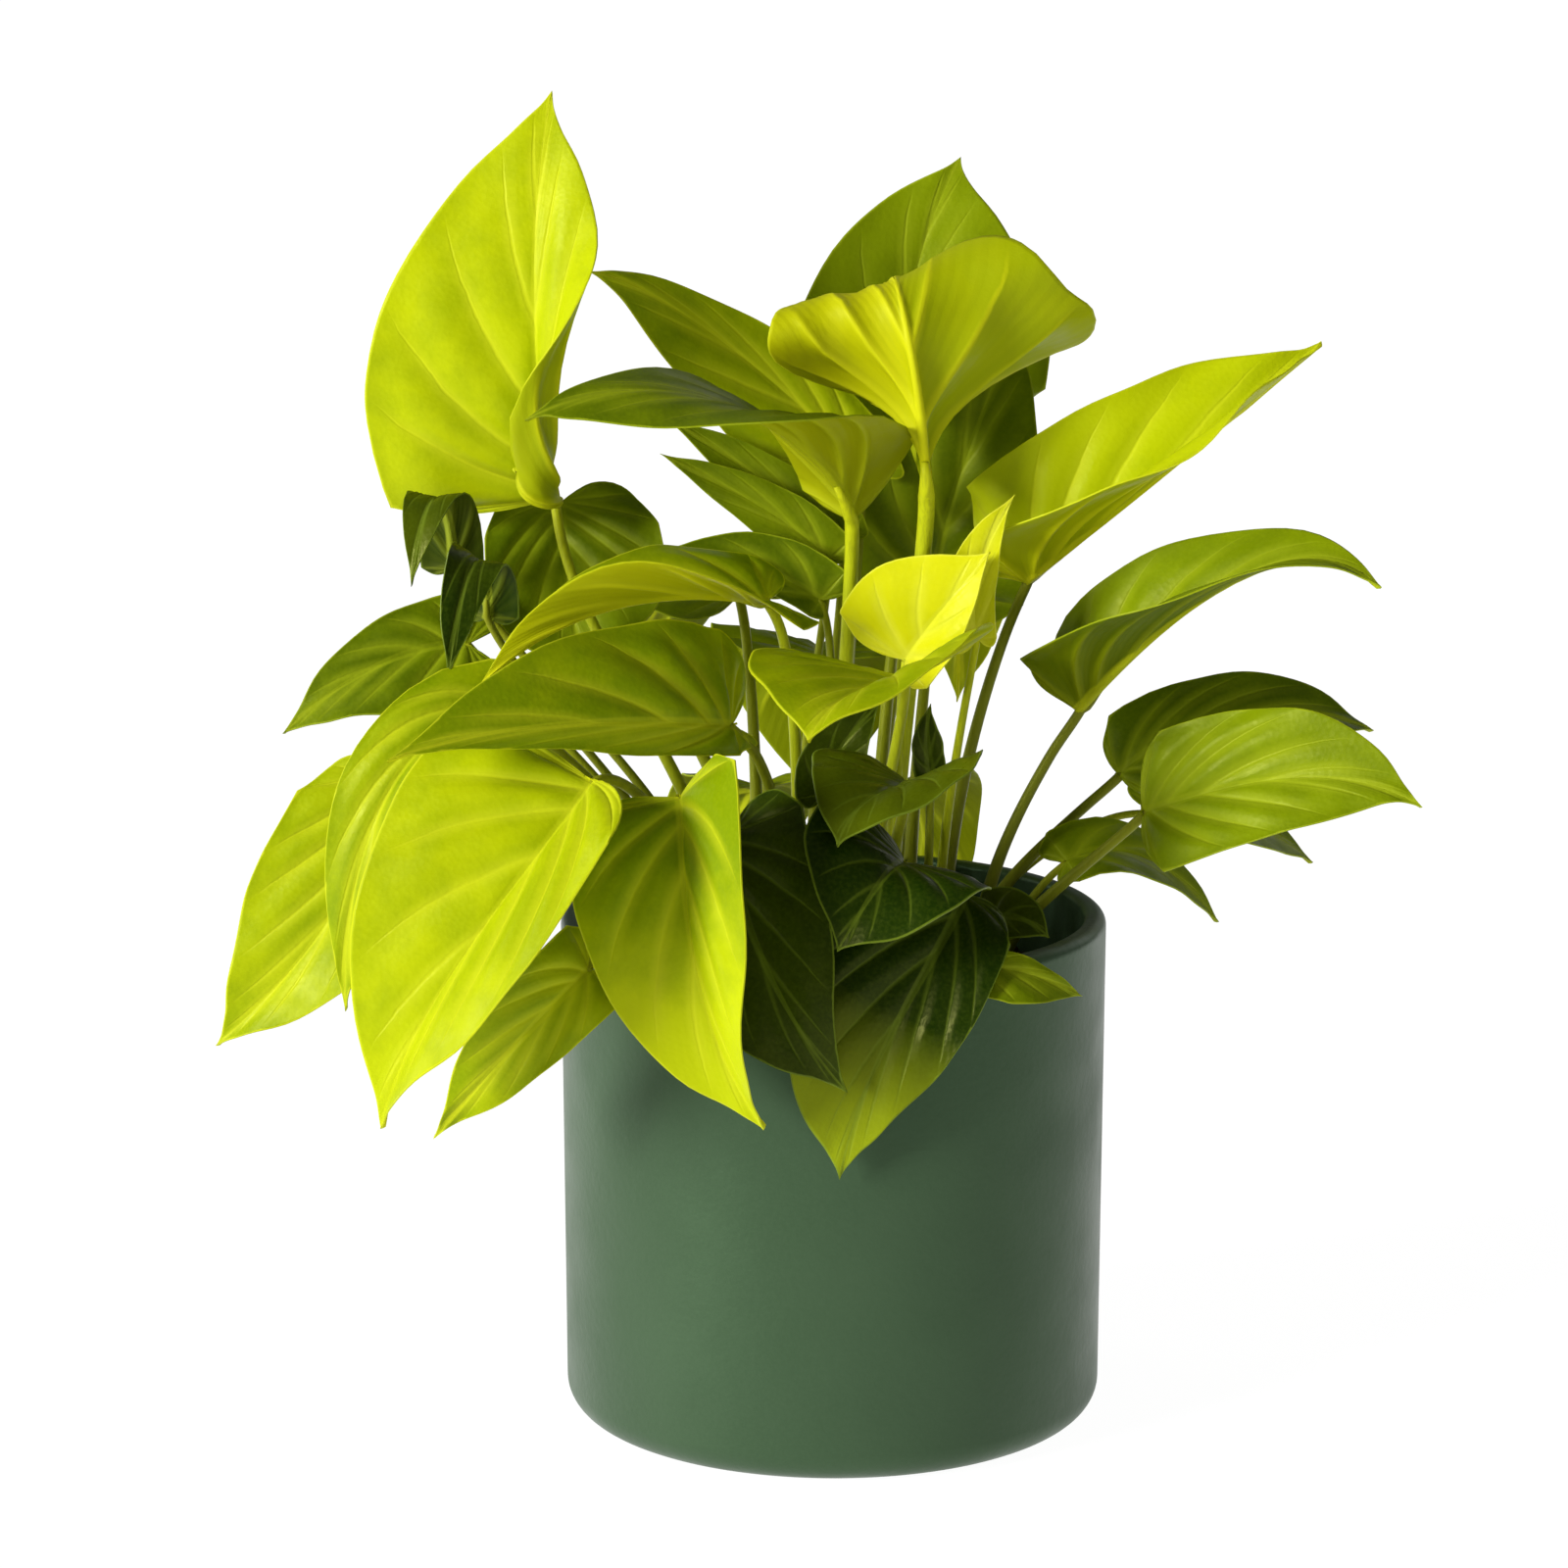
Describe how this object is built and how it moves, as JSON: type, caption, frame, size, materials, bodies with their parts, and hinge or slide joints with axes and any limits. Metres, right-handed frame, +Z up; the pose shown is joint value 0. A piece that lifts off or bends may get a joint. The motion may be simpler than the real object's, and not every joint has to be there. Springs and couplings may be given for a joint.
{
  "type": "potted homalomena",
  "caption": "Potted homalomena: heart-shaped lime and dark green leaves on upright stalks in a plain round green ceramic pot.",
  "frame": {"origin": "centre of the pot's flat underside, on the surface that the pot stands on", "axes": "+Z up along the pot's axis; -Y is the front, the side that the picture shows; +X is to the right in the picture"},
  "size_m": [0.3422, 0.2637, 0.3882],
  "materials": {
    "pot": "satin",
    "soil": "matte",
    "leaf": "satin"
  },
  "bodies": {
    "root": {"pot": "pot", "soil": "soil", "leaf_tall_left": "leaf", "leaf_back_left": "leaf", "leaf_rolled_left_upper": "leaf", "leaf_rolled_left_lower": "leaf", "leaf_far_left": "leaf", "leaf_arching_left": "leaf", "leaf_upper_centre_left": "leaf", "leaf_upper_back_left": "leaf", "leaf_under_centre_left": "leaf", "leaf_under_low_left": "leaf", "leaf_centre_heart": "leaf", "leaf_top_back": "leaf", "leaf_dark_back_right": "leaf", "leaf_right_upper": "leaf", "leaf_right_middle": "leaf", "leaf_right_back": "leaf", "leaf_right_front": "leaf", "leaf_right_low": "leaf", "leaf_right_far_low": "leaf", "leaf_yellow_centre": "leaf", "leaf_spear": "leaf", "leaf_centre_front": "leaf", "leaf_small_centre_front": "leaf", "leaf_olive_inner": "leaf", "leaf_inner_small": "leaf", "leaf_big_left_flat": "leaf", "leaf_front_left_big": "leaf", "leaf_left_behind_big": "leaf", "leaf_left_low": "leaf", "leaf_small_low_left": "leaf", "leaf_front_centre": "leaf", "leaf_dark_front": "leaf", "leaf_dark_heart": "leaf", "leaf_front_pointed": "leaf", "leaf_small_rim_right": "leaf", "leaf_dark_rim_right": "leaf", "leaf_inner_ribbed": "leaf", "leaf_rear_centre": "leaf", "leaf_rear_right": "leaf", "leaf_rear_left": "leaf", "leaf_rear_low_left": "leaf", "leaf_rear_low_right": "leaf", "leaf_rear_upper": "leaf"}
  },
  "joints": []
}
